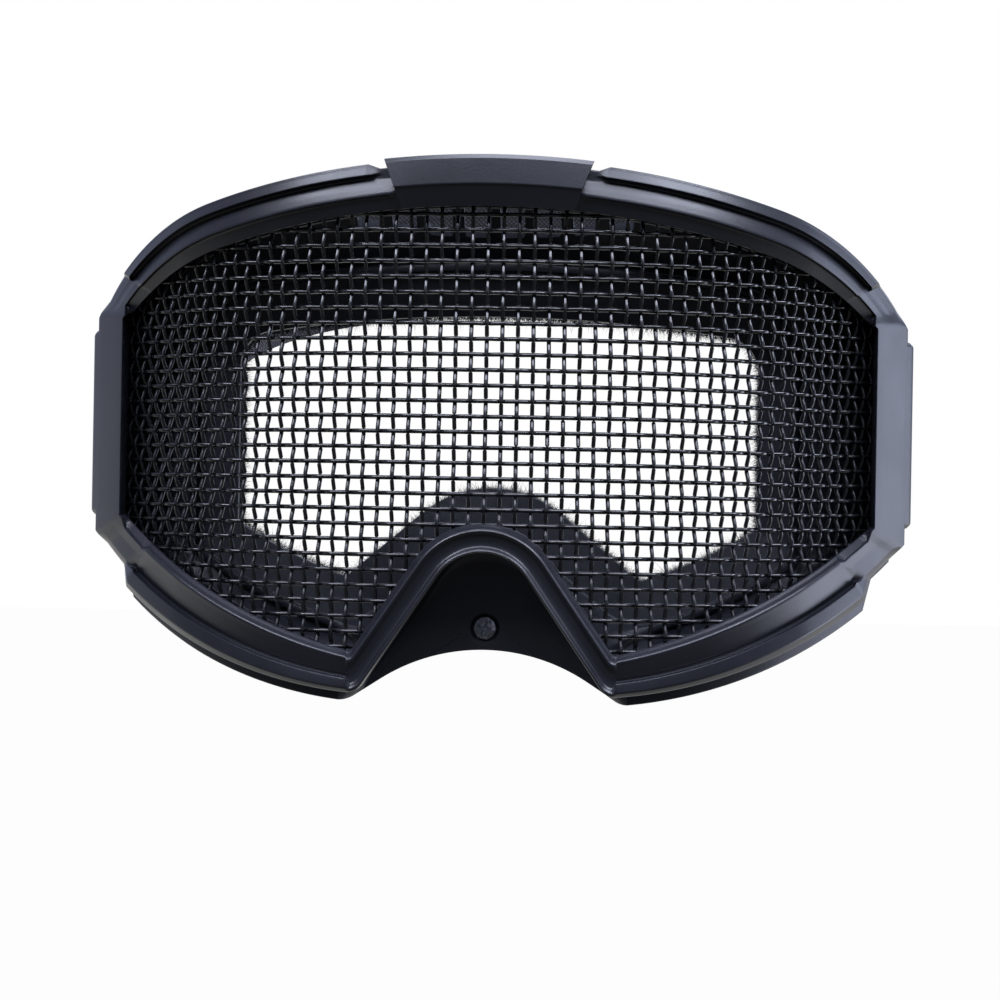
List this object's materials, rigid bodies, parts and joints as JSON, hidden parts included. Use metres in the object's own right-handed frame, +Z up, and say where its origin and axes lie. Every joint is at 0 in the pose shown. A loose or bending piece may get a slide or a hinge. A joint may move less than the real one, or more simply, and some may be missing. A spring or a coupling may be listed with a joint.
{
  "type": "mesh goggles",
  "caption": "Wrap-around goggles with a woven wire lens in a moulded frame, foam face seal and an elastic head strap on pivoting clips.",
  "frame": {"origin": "middle of the foam's face plane: on the goggles' middle plane, where the foam's face comes foremost, at the height of the lens opening's middle", "axes": "the goggles face -Y, +X to the right as seen from the front, +Z up"},
  "size_m": [0.189, 0.2263, 0.1311],
  "materials": {
    "moulded_plastic": "satin moulded",
    "lens_wire": "black coated wire",
    "foam": "open-cell foam",
    "fleece": "brushed fleece",
    "screw_steel": "blackened",
    "buckle_plastic": "smooth moulded",
    "elastic": "woven elastic webbing"
  },
  "bodies": {
    "goggles": {"front_bezel": "moulded_plastic", "brow_block": "moulded_plastic", "mesh_warp_wires": "lens_wire", "mesh_weft_wires": "lens_wire", "mesh_edge_band": "lens_wire", "hood": "moulded_plastic", "face_frame": "moulded_plastic", "face_foam": "foam", "foam_fleece": "fleece", "nose_screw": "screw_steel", "rim_screws": "screw_steel", "temple_screw_left": "screw_steel", "temple_screw_right": "screw_steel", "temple_washer_left": "screw_steel", "temple_washer_right": "screw_steel", "temple_nut_left": "screw_steel", "temple_nut_right": "screw_steel"},
    "strap": {"strap_clip_left": "buckle_plastic", "strap_clip_right": "buckle_plastic", "elastic_strap": "elastic"},
    "slider_left": {"strap_slider_left": "buckle_plastic"},
    "slider_right": {"strap_slider_right": "buckle_plastic"}
  },
  "joints": [
    {"name": "strap_tilt", "type": "hinge", "parent": "goggles", "child": "strap", "pos_m": [0, 0.028, 0.0019], "axis": [1, 0, 0], "range_deg": [-50, 20]},
    {"name": "slider_left_slide", "type": "slide", "parent": "strap", "child": "slider_left", "axis": [0.109, 0.928, 0.3562], "range_m": [-0.012, 0.012]},
    {"name": "slider_right_slide", "type": "slide", "parent": "strap", "child": "slider_right", "axis": [-0.109, 0.928, 0.3562], "range_m": [-0.012, 0.012]}
  ]
}
